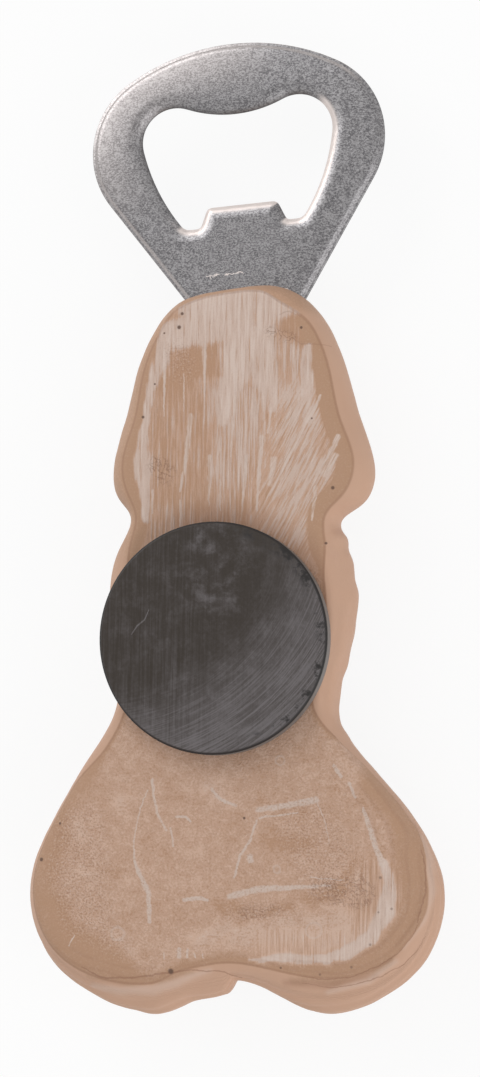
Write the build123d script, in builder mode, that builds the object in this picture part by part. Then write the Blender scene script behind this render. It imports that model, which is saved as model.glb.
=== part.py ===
from build123d import *
from itertools import accumulate
import math
import os

# Souvenir bottle opener: a cast resin handle with a flat back, a stamped steel opener plate
# cast into its head, and a round ferrite magnet glued to the flat back.
#
# Millimetres.  The opener lies on its relief with the flat back up.  +Z is up, +Y runs along
# the handle towards the opener's loop, and +X is to the right seen from above.  Every piece
# is drawn about the middle of the neck at the level of the flat back.  At the end all of
# them move together, so that the origin is the bottom centre of the whole opener.

# ---- Casting: stations of the back's outline above the neck ----
# Each has a step along the handle from the station before it, and a full width.
neck_width = 27.2
neck_shift = -0.9           # the neck and the shaft stand a little to the left of the head
undercut_step = 3.0
undercut_width = 30.4
undercut_shift = -0.3
collar_step = 4.6
collar_width = 32.6
cheek_step = 5.7
cheek_width = 29.1
cheek_shift = -0.2
crown_step = 6.8
crown_width = 26.5
crown_shift = -0.4
brow_step = 8.7
brow_width = 16.8
brow_shift = -0.2
tip_step = 2.8

# ---- Casting: stations below the neck, in the same way ----
shaft_start_step = 3.8
shaft_start_width = 27.5
shaft_step = 13.6
shaft_width = 29.2
shaft_shift = -1.2
waist_step = 9.3
waist_width = 28.0
waist_shift = -1.8
hip_step = 7.9
hip_width = 37.6
hip_shift = -1.4
flank_step = 7.8
flank_width = 48.7
flank_shift = -0.3
lobes_step = 8.6
lobes_width = 54.8
heel_step = 8.8
heel_width = 48.4
sole_corner_step = 2.8
sole_corner_width = 39.4
sole_step = 0.9
sole_spacing = 21.5         # between the lowest points of the two lobes
sole_shift = 1.2
cleft_height = 1.4          # from the sole back up to the cleft between the lobes

# ---- Casting: its side wall ----
rim_radius = 1.2            # soft edge round the flat back
bulge_depth = 4.8           # from the flat back down to the widest line of the wall
tip_overhang = 0.6          # how far that line stands out of the back's outline
crown_overhang = 1.6
side_overhang = 2.1
neck_overhang = 1.2
waist_overhang = 1.6
hip_overhang = 1.3
lobe_overhang = 1.7
heel_overhang = 2.4
sole_corner_overhang = 3.3
sole_overhang = 4.4
wall_depth = 10.5           # from the flat back to where the relief takes over
wall_taper = 3.4            # how far the wall has come back in at that depth

# ---- Relief on the front: long domes, each with its crown's depth below the flat back ----
relief_overlap = 2.0        # how far the domes reach back into the wall
head_depth = 16.5
head_crown_rise = 2.0       # above the collar
head_crown_radius = 18.5
head_crown_length = 50.0
head_relief_foot = 2.0      # from the neck up to the step where the head's dome ends
shaft_depth = 14.5
shaft_crown_drop = 3.0      # below the middle of the shaft
shaft_crown_radius = 16.0
shaft_crown_length = 80.0
lobe_depth = 16.5
lobe_crown_rise = 1.6       # above the lobes' widest line
lobe_crown_spacing = 25.2
lobe_crown_radius = 15.4
lobe_crown_length = 38.8
lobe_splay = 18.0           # degrees, how far the lobes' domes spread towards the sole

# ---- Opener plate ----
plate_thickness = 2.3
plate_depth = 5.0           # from the flat back down to the plate's upper face
plate_lean = 5.3            # degrees anticlockwise from the handle's axis
plate_edge_radius = 0.7     # tumbled edges
loop_rise = 20.6            # from the head's tip to the centres of the loop's corners
loop_corner_radius = 12.0
loop_corner_spacing = 18.0
loop_crown_rise = 14.4      # from those centres to the loop's far end
loop_side_angle = 34.1      # degrees, how fast the loop's sides close towards the head

# ---- Cap mouth in the loop ----
mouth_corner_radius = 4.85
mouth_corner_spacing = 17.6
mouth_corner_rise = 1.35    # above the loop's corner centres
mouth_side_angle = 10.0     # degrees, where the mouth's sides leave its corners
fulcrum_drop = 1.8          # how far the fulcrum hangs below the tops of those corners
mouth_foot_width = 17.0     # across the outer corners of the two notches
notch_drop = 11.3           # from the loop's corner centres down to the notches' floor
notch_radius = 1.5
tongue_tip_width = 10.0
tongue_root_width = 12.4
tongue_height = 2.8
tongue_root_radius = 0.6
tongue_corner_radius = 0.9

# ---- Tang of the plate, cast inside the head ----
tang_width = 12.0
tang_length = 24.0          # how far the plate reaches down inside the head from its tip
tang_corner_radius = 1.5
key_hole_radius = 2.2
key_hole_spacing = 8.0
key_hole_margin = 5.0       # from the tang's end to the centre of the first hole
tang_clearance = 0.05

# ---- Magnet and its glue ----
magnet_radius = 16.0
magnet_thickness = 3.0
magnet_rise = 0.3           # from the middle of the shaft up to the magnet's centre
magnet_shift = -2.1
magnet_chamfer = 0.35
glue_thickness = 0.3
glue_margin = 1.2           # the glue stops this far inside the magnet's edge
glue_rim_gap = 0.4          # and this far inside the edge of the flat back


# ---- Heights of the stations from the neck ----
rises = list(accumulate((undercut_step, collar_step, cheek_step, crown_step, brow_step, tip_step)))
undercut_y, collar_y, cheek_y, crown_y, brow_y, rim_tip_y = rises
drops = list(accumulate((shaft_start_step, shaft_step, waist_step, hip_step, flank_step,
                         lobes_step, heel_step, sole_corner_step, sole_step, -cleft_height)))
(shaft_start_y, shaft_y, waist_y, hip_y, flank_y,
 lobes_y, heel_y, sole_corner_y, sole_y, cleft_y) = (-drop for drop in drops)


# ---- Handle ----
def back_stations():
    """Places round the flat back's outline, clockwise from the tip, with their overhangs."""
    right = [
        (brow_width / 2, brow_shift, brow_y, crown_overhang),
        (crown_width / 2, crown_shift, crown_y, crown_overhang),
        (cheek_width / 2, cheek_shift, cheek_y, side_overhang),
        (collar_width / 2, 0, collar_y, side_overhang),
        (undercut_width / 2, undercut_shift, undercut_y, side_overhang),
        (neck_width / 2, neck_shift, 0, neck_overhang),
        (shaft_start_width / 2, shaft_shift, shaft_start_y, side_overhang),
        (shaft_width / 2, shaft_shift, shaft_y, side_overhang),
        (waist_width / 2, waist_shift, waist_y, waist_overhang),
        (hip_width / 2, hip_shift, hip_y, hip_overhang),
        (flank_width / 2, flank_shift, flank_y, hip_overhang),
        (lobes_width / 2, 0, lobes_y, lobe_overhang),
        (heel_width / 2, 0, heel_y, heel_overhang),
        (sole_corner_width / 2, 0, sole_corner_y, sole_corner_overhang),
        (sole_spacing / 2, sole_shift, sole_y, sole_overhang),
    ]
    stations = [((0, rim_tip_y), tip_overhang)]
    stations += [((shift + half, y), overhang) for half, shift, y, overhang in right]
    stations += [((0, cleft_y), lobe_overhang)]
    stations += [((shift - half, y), overhang) for half, shift, y, overhang in reversed(right)]
    return stations


def outline_points(inset, spread):
    """The stations moved square to the outline: out by spread times the overhang, in by inset."""
    stations = back_stations()
    points = []
    for i, ((x, y), overhang) in enumerate(stations):
        before = stations[i - 1][0]
        after = stations[(i + 1) % len(stations)][0]
        run_x = after[0] - before[0]
        run_y = after[1] - before[1]
        out = (overhang * spread - inset) / math.hypot(run_x, run_y)
        points.append((x - run_y * out, y + run_x * out))
    return points


def wall_sections():
    """Depth, inset and spread of the sections that the casting's wall passes through."""
    sections = [(0, 0, 0)]
    for share in (0.5, 1):
        sections.append((share * bulge_depth, 0, math.sin(share * math.radians(90))))
    for share in (0.5, 1):
        depth = bulge_depth + share * (wall_depth - bulge_depth)
        sections.append((depth, wall_taper * (1 - math.sqrt(1 - share**2)), 1))
    return sections


def relief_dome(crown, radius, length, depth, splay=0):
    """A long dome under the flat back, splay degrees clockwise from the handle's axis."""
    middle = Plane((*crown, radius - depth), x_dir=(0, 1, 0)).rotated((0, 0, -splay))
    with BuildPart() as dome:
        with BuildSketch(middle):
            Ellipse(length / 2, radius)
            with Locations((0, radius)):
                Rectangle(length, radius * 2, mode=Mode.SUBTRACT)
        revolve(axis=Axis(middle.origin, middle.x_dir))
        split(bisect_by=Plane.XY.offset(relief_overlap - wall_depth), keep=Keep.BOTTOM)
    return dome.part


with BuildPart() as head_relief:
    head_crown = (0, collar_y + head_crown_rise)
    add(relief_dome(head_crown, head_crown_radius, head_crown_length, head_depth))
    split(bisect_by=Plane.XZ.offset(-head_relief_foot), keep=Keep.BOTTOM)

shaft_relief = relief_dome(
    (shaft_shift, shaft_y - shaft_crown_drop), shaft_crown_radius, shaft_crown_length, shaft_depth
)
lobe_reliefs = [
    relief_dome((side * lobe_crown_spacing / 2, lobes_y + lobe_crown_rise), lobe_crown_radius,
                lobe_crown_length, lobe_depth, -side * lobe_splay)
    for side in (-1, 1)
]

# ---- Opener plate: its outline and its cap mouth, drawn from the tip of the head ----
tip_y = rim_tip_y + tip_overhang
lean = math.radians(plate_lean)
plate_frame = Plane(
    origin=(0, tip_y, -plate_depth - plate_thickness),
    x_dir=(math.cos(lean), math.sin(lean), 0),
    z_dir=(0, 0, 1),
)


def plate_outline(margin):
    """Outline of the loop and its tang, margin wider all round, as a face at the origin."""
    corner = Vector(loop_corner_spacing / 2, loop_rise)
    corner_r = loop_corner_radius + margin
    crown_rise = loop_crown_rise + margin
    crown_r = (corner.X**2 + crown_rise**2 - corner_r**2) / (2 * (crown_rise - corner_r))
    crown = Vector(0, loop_rise + crown_rise - crown_r)
    join = math.degrees(math.atan2(corner.Y - crown.Y, corner.X - crown.X))
    side = math.radians(loop_side_angle)
    side_top = corner + Vector(math.cos(side), -math.sin(side)) * corner_r
    tang_half = tang_width / 2 + margin
    shoulder_y = side_top.Y - (side_top.X - tang_half) / math.tan(side)
    foot_y = -tang_length - margin
    with BuildSketch() as outline:
        with BuildLine():
            CenterArc(crown, crown_r, join, 90 - join)
            CenterArc(corner, corner_r, -loop_side_angle, loop_side_angle + join)
            Polyline(side_top, (tang_half, shoulder_y), (tang_half, foot_y), (0, foot_y))
            mirror(about=Plane.YZ)
        make_face()
        tang_end = outline.vertices().group_by(Axis.Y)[0]
        fillet(tang_end, tang_corner_radius)
        for i in range(2):
            with Locations((0, key_hole_margin + i * key_hole_spacing - tang_length)):
                Circle(key_hole_radius - margin, mode=Mode.SUBTRACT)
    return outline.sketch


def cap_mouth():
    """Outline of the cap mouth: two round corners, a fulcrum, two notches and a tongue."""
    corner = Vector(mouth_corner_spacing / 2, loop_rise + mouth_corner_rise)
    hang = mouth_corner_radius - fulcrum_drop
    fulcrum_r = (corner.X**2 + hang**2 - mouth_corner_radius**2) / (2 * fulcrum_drop)
    fulcrum = Vector(0, corner.Y + hang + fulcrum_r)
    fulcrum_end = math.degrees(math.atan2(corner.Y - fulcrum.Y, corner.X - fulcrum.X))
    side = math.radians(mouth_side_angle)
    side_top = corner + Vector(math.cos(side), -math.sin(side)) * mouth_corner_radius
    floor_y = loop_rise - notch_drop
    notch = Vector(mouth_foot_width / 2, floor_y)
    root = Vector(tongue_root_width / 2, floor_y)
    tongue_tip = Vector(tongue_tip_width / 2, floor_y + tongue_height)
    with BuildSketch() as mouth:
        with BuildLine():
            CenterArc(fulcrum, fulcrum_r, -90, 90 + fulcrum_end)
            CenterArc(corner, mouth_corner_radius, -mouth_side_angle,
                      mouth_side_angle + 180 + fulcrum_end)
            TangentArc(side_top, notch, tangent=(-math.sin(side), -math.cos(side)))
            Polyline(notch, root, tongue_tip, (0, tongue_tip.Y))
            mirror(about=Plane.YZ)
        make_face()
        for corner_x, radius in (
            (notch.X, notch_radius),
            (root.X, tongue_root_radius),
            (tongue_tip.X, tongue_corner_radius),
        ):
            ends = [v for v in mouth.vertices() if abs(abs(v.X) - corner_x) < 1e-4]
            fillet([v for v in ends if v.Y < tongue_tip.Y + 1e-4], radius)
    return mouth.sketch


tang_profile = plate_outline(0)
pocket_profile = plate_outline(tang_clearance)
mouth_profile = cap_mouth()

with BuildPart() as opener_plate:
    with BuildSketch(plate_frame):
        add(tang_profile)
        add(mouth_profile, mode=Mode.SUBTRACT)
    extrude(amount=plate_thickness)
    faces_up_and_down = opener_plate.faces().filter_by(Axis.Z)
    fillet(faces_up_and_down.edges(), plate_edge_radius)
opener_plate.part.label = "opener_plate"

with BuildPart() as tang_pocket:
    with BuildSketch(plate_frame.offset(-tang_clearance)):
        add(pocket_profile)
    extrude(amount=plate_thickness + 2 * tang_clearance)

with BuildPart() as handle:
    for depth, inset, spread in wall_sections():
        with BuildSketch(Plane.XY.offset(-depth)):
            with BuildLine():
                Spline(outline_points(inset, spread), periodic=True)
            make_face()
    loft()
    fillet(handle.faces().sort_by(Axis.Z)[-1].edges(), rim_radius)
    add(head_relief.part)
    add(shaft_relief)
    for lobe_relief in lobe_reliefs:
        add(lobe_relief)
    add(tang_pocket.part, mode=Mode.SUBTRACT)
handle.part.label = "handle"

# ---- Magnet and the glue under it ----
magnet_centre = (magnet_shift, shaft_y + magnet_rise)

with BuildPart() as magnet_adhesive:
    with BuildSketch():
        with BuildLine():
            Spline(outline_points(rim_radius + glue_rim_gap, 0), periodic=True)
        make_face()
        with Locations(magnet_centre):
            Circle(magnet_radius - glue_margin, mode=Mode.INTERSECT)
    extrude(amount=glue_thickness)
magnet_adhesive.part.label = "magnet_adhesive"

with BuildPart() as magnet:
    with BuildSketch(Plane.XY.offset(glue_thickness)):
        with Locations(magnet_centre):
            Circle(magnet_radius)
    extrude(amount=magnet_thickness)
    chamfer(magnet.edges(), magnet_chamfer)
magnet.part.label = "magnet"

# ---- Bring the origin to the bottom centre and write the pieces ----
pieces = [handle.part, opener_plate.part, magnet.part, magnet_adhesive.part]
box = Compound(pieces).bounding_box()
to_origin = Location((-box.center().X, -box.center().Y, -box.min.Z))
for piece in pieces:
    piece.move(to_origin)

os.makedirs("parts", exist_ok=True)
export_step(handle.part, "parts/handle.step")
export_step(opener_plate.part, "parts/opener_plate.step")
export_step(magnet.part, "parts/magnet.step")
export_step(magnet_adhesive.part, "parts/magnet_adhesive.step")
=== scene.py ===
"""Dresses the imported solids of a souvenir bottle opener: cast resin, tumbled steel and ferrite."""

import math

import bmesh
import bpy
import numpy as np
from bpy.props import FloatProperty, FloatVectorProperty, PointerProperty
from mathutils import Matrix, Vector, noise
from mathutils.bvhtree import BVHTree
from mathutils.kdtree import KDTree


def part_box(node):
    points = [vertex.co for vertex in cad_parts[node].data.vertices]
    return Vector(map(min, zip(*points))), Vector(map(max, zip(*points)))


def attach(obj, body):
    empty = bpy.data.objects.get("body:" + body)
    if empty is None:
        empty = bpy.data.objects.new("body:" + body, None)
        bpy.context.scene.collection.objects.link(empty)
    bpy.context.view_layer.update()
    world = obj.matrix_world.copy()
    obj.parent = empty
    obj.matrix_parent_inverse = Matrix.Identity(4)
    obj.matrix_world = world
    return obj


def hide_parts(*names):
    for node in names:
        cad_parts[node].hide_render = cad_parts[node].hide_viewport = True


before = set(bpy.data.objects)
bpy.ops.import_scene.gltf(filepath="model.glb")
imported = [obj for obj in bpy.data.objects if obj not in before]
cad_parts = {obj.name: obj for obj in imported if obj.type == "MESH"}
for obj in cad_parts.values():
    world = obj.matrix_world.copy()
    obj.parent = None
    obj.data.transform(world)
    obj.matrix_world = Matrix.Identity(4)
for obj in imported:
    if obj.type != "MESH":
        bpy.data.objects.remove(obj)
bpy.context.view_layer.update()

bl_info = {
    "name": "Souvenir bottle opener",
    "version": (1, 0, 0),
    "blender": (4, 5, 0),
    "location": "3D View > Sidebar > Bottle opener",
    "description": "Shapes and finishes of a resin souvenir bottle opener with a fridge magnet",
    "category": "Object",
}

MM = 0.001
HAIR = 0.001 * MM                                 # places closer than this are the same
HANDLE_LOW, HANDLE_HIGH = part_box("handle")
MAGNET_LOW, MAGNET_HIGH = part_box("magnet")
BACK_HEIGHT = HANDLE_HIGH.z                       # level of the handle's flat back
MAGNET_MIDDLE = (MAGNET_LOW + MAGNET_HIGH) / 2    # marks on the back are placed from here
FLAT_DEPTH = 0.12 * MM                            # the flat back's own unevenness
RELIEF_DEPTH = 9.5 * MM                           # the relief starts this far below the back

# The camera looks along the reverse of CAMERA_AWAY at a place on the level of the back.
CAMERA_TARGET = (0.79 * MM, -2.6 * MM)
CAMERA_AWAY = (0.2172, -0.0811, 0.9727)
CAMERA_UP = (-0.01867, 0.99983, 0)
CAMERA_LENS = 145.67
LIGHTS = (         # name, offset from the target and breadth, in metres
    ("key", (-0.50, 0.54, 0.44), 0.8),
    ("fill", (0.58, -0.44, 0.36), 0.8),
    ("card", (-0.52, 0.50, 0.34), 0.62),
)
FLOOR_REACH = 3                                   # metres from its middle to each side
FLOOR_GLOW = 0.88                                 # how much of the floor is plain white


def display(red, green, blue):
    """A display colour, 0 to 255, as the linear colour that a socket takes."""
    def linear(level):
        level /= 255
        return level / 12.92 if level <= 0.04045 else ((level + 0.055) / 1.055) ** 2.4
    return linear(red), linear(green), linear(blue)


def colour(name, description, value):
    """A colour setting."""
    return FloatVectorProperty(name=name, description=description, default=display(*value),
                               subtype="COLOR", size=3, min=0, max=1)


def size(name, description, millimetres):
    """A length setting, in metres."""
    return FloatProperty(name=name, description=description, default=millimetres * MM,
                         unit="LENGTH", subtype="DISTANCE", min=0, precision=5)


def share(name, description, value):
    """A setting from 0 to 1."""
    return FloatProperty(name=name, description=description, default=value,
                         subtype="FACTOR", min=0, max=1)


class ResinSettings(bpy.types.PropertyGroup):
    skin: colour("Skin", "Cast skin of the flat back", (195, 159, 136))
    olive: colour("Unsanded rim", "Rim band that the sander didn't reach", (176, 141, 115))
    brown: colour("Low patches", "Low places of the back, left brown", (178, 140, 113))
    sanded: colour("Sanded", "Where the sander went through the skin", (204, 180, 166))
    flecked: colour("Flecks", "Pale flecks on the lobes", (208, 175, 154))
    # Also the colour of the painted highlight on the ridges.
    scuffs_and_highlight: colour("Scuffs", "Pale smears and scratches", (210, 190, 178))
    wall: colour("Side wall", "Smooth side wall and relief", (195, 157, 133))
    # Colour of the painted shade in creases, grooves and shoulder folds, and of the magnet's painted
    # shadow; also of dark specks, wormed lines and the line along the seam.
    shade_and_dark_marks: colour("Creases", "Thin dark lines between folds", (138, 98, 76))
    # Colour of the painted shade inside the pinholes, which the mesh doesn't have.
    pinhole_shade: colour("Pinholes", "Bottoms of the pinholes", (92, 68, 56))
    roughness: share("Roughness", "Roughness of the cast skin", 0.6)
    grain: FloatProperty(name="Grain", description="Strength of the lobes' grain", default=1.6)
    streaks: FloatProperty(name="Streaks", description="Strength of the sanding streaks",
                           default=3.2)
    face_size: size("Face size", "Size of the faces of the remeshed handle", 0.36)
    shoulder: size("Shoulder", "How far the lobes' rim drops below the flat", 0.7)


class SteelSettings(bpy.types.PropertyGroup):
    steel: colour("Steel", "Tumbled face", (149, 147, 148))
    dull: colour("Dull steel", "Darker mottling", (98, 96, 98))
    bright: colour("Scratches", "Fine bright scratches", (176, 173, 174))
    # Colour of the painted highlight on edges that face the upper left; the bright dabs take it too.
    edge_highlight: colour("Painted edge highlight", "Bright rolled edges", (224, 213, 208))
    # Colour of the painted shade on the plate's sides that face the lower right.
    cut: colour("Painted side shade", "Painted shade on the sides facing the lower right", (96, 93, 93))
    roughness: share("Roughness", "Roughness of the tumbled face", 0.36)
    face_size: size("Face size", "Size of the faces of the remeshed plate", 0.22)
    crown: size("Crown", "How far the plate's face falls away towards its outer edge", 0.5)
    rounding: size("Rounding", "Width of the rolled edges of the opening", 1.3)


class MagnetSettings(bpy.types.PropertyGroup):
    ferrite: colour("Ferrite", "Ground face", (50, 43, 37))
    worn: colour("Worn ferrite", "Lighter scuffs and grinding marks", (104, 99, 100))
    edge: colour("Edge", "Dark line round the face", (36, 33, 32))
    side: colour("Side", "Turned side of the disc", (112, 107, 104))
    glue: colour("Glue", "Dried glue under the magnet", (176, 150, 120))
    roughness: share("Roughness", "Roughness of the ground face", 0.5)


class StageSettings(bpy.types.PropertyGroup):
    distance: size("Camera distance", "From the flat back to the camera", 600)
    key: FloatProperty(name="Key light", description="Power of the soft light, upper left",
                       default=3.0, min=0, unit="POWER")
    fill: FloatProperty(name="Fill light", description="Power of the soft light, lower right",
                        default=2.6, min=0, unit="POWER")
    card: FloatProperty(name="Reflected card", min=0, unit="POWER", default=1.7,
                        description="Power of the card that only shows in reflections")
    ambient: share("Ambient", "Strength of the even light from all round", 0.62)


# ---- Marks, in millimetres from the magnet's centre ----
# Each mark is a line of places (x, y, width) on the back, unless its comment says otherwise.
SANDED = (         # sanded wholly through, with a ragged border
    ((-4.6, 46.8, 5.4), (8.4, 46.4, 5.4)),
    ((-6.2, 42.8, 4.4), (5.2, 43.4, 4.4)),
)
BANDS = (          # sanded palest
    ((2.1, 42.8, 5.8), (2.4, 38.0, 5.4), (0.8, 34.2, 3.2), (0.0, 30.3, 1.6)),
    ((4.6, 42.8, 4.6), (5.8, 37.2, 4.0), (7.1, 32.5, 2.4)),
    ((-7.6, 43.0, 3.2), (-8.8, 38.8, 2.4), (-10.1, 35.4, 1.6)),
    ((-10.0, 36.5, 1.3), (-10.8, 30.4, 1.2), (-11.3, 26.2, 1.8), (-11.5, 23.4, 2.0),
     (-11.0, 20.7, 1.5), (-10.4, 16.5, 1.2)),
    ((12.0, 40.5, 1.2), (12.2, 30.3, 1.2)),
    ((23.6, -30.4, 1.2), (24.6, -32.6, 1.5), (24.2, -36.7, 2.4), (22.0, -40.5, 2.2),
     (19.2, -42.4, 1.9), (15.9, -43.5, 1.6), (10.9, -43.4, 1.3), (5.4, -43.7, 0.6)),
)
HALF_SANDED = (    # partly sanded through
    ((10.9, 38.6, 5.4), (9.9, 30.3, 5.8), (10.9, 24.7, 6.0), (11.0, 16.0, 5.6)),
    ((2.0, 32.0, 7.0), (1.0, 24.0, 6.0)),
    ((-13.4, -22.5, 2.6), (-13.2, -23.0, 2.6)),
    ((-17.4, -32.8, 2.4), (-17.0, -33.4, 2.4)),
    ((-19.3, -25.6, 2.6), (-18.6, -26.6, 2.0)),
    ((-13.5, -42.0, 4.0), (-12.0, -42.6, 3.4)),
    ((2.4, -39.0, 3.6), (-1.7, -42.0, 3.0)),
    ((4.0, -40.5, 4.6), (18.0, -38.5, 5.0)),
    ((15.5, -41.6, 4.0), (21.5, -39.4, 4.0)),
    ((-1.0, -20.0, 3.0), (1.5, -22.5, 2.0)),
)
BROWN = (          # low and left brown
    ((-5.5, 38.2, 4.4), (-0.4, 38.7, 4.2)),
    ((-8.9, 35.4, 3.2), (-9.1, 30.4, 3.4), (-7.9, 26.0, 4.0), (-7.6, 20.0, 3.6)),
    ((-6.0, 35.4, 3.6), (-4.5, 31.5, 4.2), (-3.4, 26.0, 4.0), (-3.0, 19.0, 4.0)),
    ((9.3, 43.4, 2.6), (11.6, 41.5, 2.2)),
    ((2.0, -37.4, 1.6), (0.8, -36.6, 0.8)),
    ((4.2, -38.1, 1.6), (3.8, -38.4, 1.6)),
    ((19.6, -31.1, 1.8), (19.9, -30.0, 1.4)),
    ((2.0, -36.6, 1.6), (6.0, -37.6, 1.2), (11.0, -36.4, 0.8)),
    ((13.5, -35.5, 1.4), (17.5, -34.5, 2.0), (18.5, -32.0, 1.4)),
    ((8.0, -27.0, 3.4), (12.0, -28.0, 2.4)),
)
GRANULAR = (       # specked with fine grains
    ((-19.0, -26.5, 7.0), (-19.0, -32.0, 9.0), (-18.0, -38.0, 7.0), (-13.0, -42.5, 2.5)),
    ((-6.4, 39.6, 3.0), (-5.6, 37.4, 3.0)),
    ((13.0, -26.0, 8.0), (16.5, -31.5, 9.0)),
    ((2.5, -37.6, 2.4), (11.0, -37.2, 2.4)),
)
WORMED = (         # broken by fine wandering lines
    ((-8.8, 24.0, 3.4), (-8.0, 23.0, 3.0)),
    ((15.6, -34.0, 3.6), (20.4, -34.4, 4.6)),
    ((4.4, -37.2, 1.8), (8.8, -37.0, 1.8)),
    ((6.6, 42.6, 1.6), (9.4, 41.8, 1.6)),
)
SCUFFS = (         # pale smears and scratches
    ((-8.3, 39.9, 0.6), (-8.2, 30.9, 0.1)),
    ((-4.4, 30.9, 0.7), (-5.0, 24.8, 0.6), (-5.7, 20.4, 0.3)),
    ((-2.7, 40.9, 0.7), (-2.4, 33.7, 0.2)),
    ((-1.6, 25.3, 0.6), (-1.6, 18.4, 0.2)),
    ((2.0, 38.1, 0.4), (1.4, 25.3, 0.3)),
    ((3.7, 25.3, 0.6), (3.0, 16.5, 0.2)),
    ((5.6, 27.8, 0.9), (5.2, 17.9, 0.3)),
    ((6.9, 32.0, 0.3), (6.6, 28.6, 0.3)),
    ((7.5, 24.8, 0.9), (7.0, 21.4, 0.7)),
    ((-0.1, 22.0, 0.3), (0.0, 17.9, 0.2)),
    ((-9.6, 20.6, 0.3), (-9.6, 17.5, 0.3)),
    ((-5.7, 19.3, 0.2), (-5.6, 15.6, 0.2)),
    ((-5.5, 36.8, 0.2), (-5.4, 31.5, 0.1)),
    ((13.4, 20.9, 0.6), (13.0, 16.5, 0.3)),
    ((9.7, 26.1, 0.6), (8.4, 22.0, 0.3)),
    ((11.3, 34.2, 0.7), (9.3, 30.6, 0.4)),
    ((16.4, 28.0, 0.7), (14.3, 23.1, 0.7)),
    ((13.8, 33.6, 0.4), (12.7, 30.8, 0.3)),
    ((16.2, 25.3, 0.8), (14.5, 22.8, 0.8)),
    ((-9.4, -20.8, 0.2), (-10.5, -23.3, 0.2), (-11.3, -27.7, 0.2), (-11.2, -30.5, 0.35),
     (-10.3, -32.6, 0.6), (-9.1, -34.8, 0.75), (-8.8, -38.9, 0.5)),
    ((-8.9, -19.4, 0.4), (-8.6, -21.6, 0.35), (-8.0, -24.1, 0.35), (-6.8, -26.3, 0.35)),
    ((-6.1, -26.0, 0.3), (-5.7, -28.5, 0.3)),
    ((-5.4, -24.5, 0.3), (-4.0, -24.4, 0.3), (-3.3, -25.1, 0.25)),
    ((-0.4, -20.7, 0.5), (1.0, -22.1, 0.5), (3.0, -22.9, 0.4)),
    ((-4.0, -35.8, 0.5), (-1.8, -35.5, 0.6), (-0.7, -35.8, 0.4)),
    ((-4.6, -42.5, 0.5), (-4.6, -43.6, 0.5)),
    ((-3.4, -42.6, 0.35), (-3.4, -43.6, 0.35)),
    ((-6.7, -43.1, 0.15), (-6.7, -43.9, 0.15)),
    ((-2.4, -43.0, 0.2), (-2.4, -43.6, 0.2)),
    ((-1.3, -43.1, 0.2), (-1.2, -43.6, 0.15)),
    ((-19.5, -41.0, 0.2), (-20.2, -42.4, 0.2)),
    ((16.6, -17.2, 0.55), (17.5, -18.6, 0.5)),
    ((18.7, -19.5, 0.4), (19.6, -21.5, 0.35)),
    ((20.7, -22.9, 0.4), (21.7, -25.6, 0.7), (22.6, -28.3, 0.7), (23.6, -30.4, 1.1)),
    ((6.1, -23.4, 0.7), (14.2, -21.9, 0.9)),
    ((6.4, -24.4, 0.3), (11.7, -23.7, 0.25)),
    ((14.3, -22.2, 0.15), (15.6, -25.1, 0.15), (16.1, -27.8, 0.1)),
    ((6.0, -24.7, 0.25), (5.1, -27.5, 0.35), (3.7, -29.7, 0.35), (2.9, -32.7, 0.25)),
    ((2.4, -35.2, 0.8), (6.6, -34.1, 0.9), (10.8, -33.9, 0.6), (16.3, -33.5, 0.3)),
    ((13.5, -32.5, 0.15), (18.0, -32.7, 0.15)),
    ((5.1, -29.8, 0.9), (5.2, -30.2, 0.9)),
)
LAYERED = (        # olive layers on the wall at the sole
    ((-17.5, -46.4, 0.8), (-12.5, -47.2, 1.0), (-7.5, -46.9, 1.0), (-3.0, -45.6, 0.7)),
    ((11.0, -46.4, 0.8), (17.0, -46.4, 1.4), (23.5, -44.0, 2.0), (27.3, -39.0, 1.6)),
)
# Painted shade in creases and small cracks, drawn as thin dark lines.
CREASE_SHADE_LINES = (        # thin dark lines
    ((-18.5, -45.2, 0.15), (-15.8, -46.7, 0.25), (-11.3, -46.6, 0.25), (-7.3, -46.0, 0.25),
     (-3.1, -45.4, 0.2), (1.1, -45.5, 0.2), (3.6, -46.3, 0.15)),
    ((28.6, -28.5, 0.1), (29.3, -31.0, 0.2), (29.4, -34.1, 0.25), (28.3, -38.3, 0.15)),
    ((29.2, -40.1, 0.05), (28.2, -42.1, 0.1), (26.2, -44.1, 0.12), (23.3, -45.7, 0.15),
     (20.0, -46.8, 0.15), (16.3, -47.4, 0.12), (12.5, -46.8, 0.05)),
    ((28.8, -37.8, 0.05), (27.7, -40.2, 0.1), (25.7, -42.6, 0.12), (22.8, -44.4, 0.15),
     (19.5, -45.8, 0.15), (15.7, -46.3, 0.12), (12.4, -45.8, 0.05)),
    ((9.7, 41.7, 0.15), (11.1, 40.8, 0.25), (14.8, 40.7, 0.15)),
    ((7.9, 45.0, 0.15), (9.4, 45.4, 0.25), (10.8, 44.6, 0.15)),
)
# Grooves are dug into the mesh and also darkened with painted shade.
GROOVES = (        # hollows between folds, also on the wall
    ((27.0, -25.5, 0.7), (28.4, -29.8, 1.1), (28.7, -34.1, 1.1), (27.7, -38.3, 1.1),
     (25.2, -41.6, 0.7)),
    ((25.8, -27.5, 0.7), (26.7, -32.6, 1.2), (26.1, -37.0, 1.2), (23.4, -41.6, 0.8)),
    ((24.5, -43.4, 0.7), (20.5, -45.4, 1.1), (14.0, -45.4, 0.8)),
    ((22.5, -45.6, 0.7), (16.0, -47.0, 1.1), (10.0, -46.8, 0.7)),
    ((-17.0, -46.9, 0.5), (-13.0, -47.4, 0.7), (-8.0, -47.0, 0.7), (-4.2, -45.9, 0.4)),
)
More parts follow.
